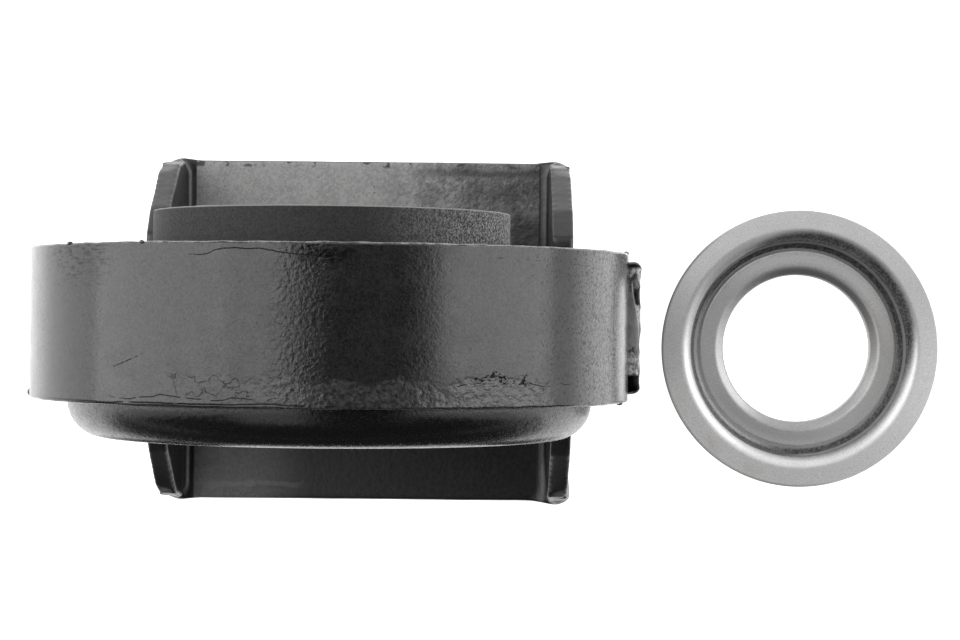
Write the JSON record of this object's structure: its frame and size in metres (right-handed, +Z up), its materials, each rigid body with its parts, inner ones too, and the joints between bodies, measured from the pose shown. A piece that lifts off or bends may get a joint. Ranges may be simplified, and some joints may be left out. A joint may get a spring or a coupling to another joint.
{
  "type": "drive axle support",
  "caption": "Centre support for a drive shaft: sealed ball bearing in a rubber cushion and steel band, welded to a U-shaped bracket, with its loose dust ring beside it.",
  "frame": {"origin": "on the bracket's mounting face, straight below the bearing axis, level with the middle of the band's width", "axes": "+Z up from the mounting face, +Y along the bearing axis to the open end of the bearing sleeve, +X towards the seam weld and the loose dust ring"},
  "size_m": [0.2037, 0.0816, 0.1376],
  "materials": {
    "gloss_black_paint": "gloss black paint with fine orange peel",
    "rough_black_paint": "thin rough black paint over pressed steel",
    "painted_weld": "lumpy weld bead under gloss black paint",
    "cushion_rubber": "matt moulded black rubber",
    "spring_steel": "dark oiled spring steel",
    "bearing_steel": "ground bearing steel",
    "cage_steel": "pressed sheet steel",
    "seal_rubber": "satin moulded black rubber",
    "pressed_steel": "satin bare pressed steel"
  },
  "bodies": {
    "support": {"bracket": "gloss_black_paint", "outer_band": "gloss_black_paint", "cushion_shell": "gloss_black_paint", "rubber_cushion": "cushion_rubber", "bearing_sleeve": "rough_black_paint", "snap_ring": "spring_steel", "outer_race": "bearing_steel", "seal_front": "seal_rubber", "seal_rear": "seal_rubber", "band_seam_weld": "painted_weld", "bracket_weld_left": "painted_weld", "bracket_weld_right": "painted_weld", "dust_ring": "pressed_steel"},
    "inner_race": {"inner_race": "bearing_steel"},
    "cage": {"cage_front": "cage_steel", "cage_rear": "cage_steel"},
    "ball_1": {"ball_1": "bearing_steel"},
    "ball_2": {"ball_2": "bearing_steel"},
    "ball_3": {"ball_3": "bearing_steel"},
    "ball_4": {"ball_4": "bearing_steel"},
    "ball_5": {"ball_5": "bearing_steel"},
    "ball_6": {"ball_6": "bearing_steel"},
    "ball_7": {"ball_7": "bearing_steel"},
    "ball_8": {"ball_8": "bearing_steel"},
    "ball_9": {"ball_9": "bearing_steel"}
  },
  "joints": [
    {"name": "inner_race_spin", "type": "hinge", "parent": "support", "child": "inner_race", "pos_m": [0, 0.004, 0.0751], "axis": [0, 1, 0], "continuous": true},
    {"name": "cage_spin", "type": "hinge", "parent": "support", "child": "cage", "pos_m": [0, 0.004, 0.0751], "axis": [0, 1, 0], "continuous": true},
    {"name": "ball_1_spin", "type": "hinge", "parent": "cage", "child": "ball_1", "pos_m": [0.02675, 0.004, 0.0751], "axis": [0, 1, 0], "continuous": true},
    {"name": "ball_2_spin", "type": "hinge", "parent": "cage", "child": "ball_2", "pos_m": [0.02049, 0.004, 0.09229], "axis": [0, 1, 0], "continuous": true},
    {"name": "ball_3_spin", "type": "hinge", "parent": "cage", "child": "ball_3", "pos_m": [0.00465, 0.004, 0.10144], "axis": [0, 1, 0], "continuous": true},
    {"name": "ball_4_spin", "type": "hinge", "parent": "cage", "child": "ball_4", "pos_m": [-0.01337, 0.004, 0.09827], "axis": [0, 1, 0], "continuous": true},
    {"name": "ball_5_spin", "type": "hinge", "parent": "cage", "child": "ball_5", "pos_m": [-0.02514, 0.004, 0.08425], "axis": [0, 1, 0], "continuous": true},
    {"name": "ball_6_spin", "type": "hinge", "parent": "cage", "child": "ball_6", "pos_m": [-0.02514, 0.004, 0.06595], "axis": [0, 1, 0], "continuous": true},
    {"name": "ball_7_spin", "type": "hinge", "parent": "cage", "child": "ball_7", "pos_m": [-0.01337, 0.004, 0.05193], "axis": [0, 1, 0], "continuous": true},
    {"name": "ball_8_spin", "type": "hinge", "parent": "cage", "child": "ball_8", "pos_m": [0.00465, 0.004, 0.04876], "axis": [0, 1, 0], "continuous": true},
    {"name": "ball_9_spin", "type": "hinge", "parent": "cage", "child": "ball_9", "pos_m": [0.02049, 0.004, 0.05791], "axis": [0, 1, 0], "continuous": true}
  ],
  "couplings": [
    {"joint": "cage_spin", "follows": "inner_race_spin", "ratio": 0.39626},
    {"joint": "ball_1_spin", "follows": "inner_race_spin", "ratio": -2.3062},
    {"joint": "ball_2_spin", "follows": "inner_race_spin", "ratio": -2.3062},
    {"joint": "ball_3_spin", "follows": "inner_race_spin", "ratio": -2.3062},
    {"joint": "ball_4_spin", "follows": "inner_race_spin", "ratio": -2.3062},
    {"joint": "ball_5_spin", "follows": "inner_race_spin", "ratio": -2.3062},
    {"joint": "ball_6_spin", "follows": "inner_race_spin", "ratio": -2.3062},
    {"joint": "ball_7_spin", "follows": "inner_race_spin", "ratio": -2.3062},
    {"joint": "ball_8_spin", "follows": "inner_race_spin", "ratio": -2.3062},
    {"joint": "ball_9_spin", "follows": "inner_race_spin", "ratio": -2.3062}
  ]
}
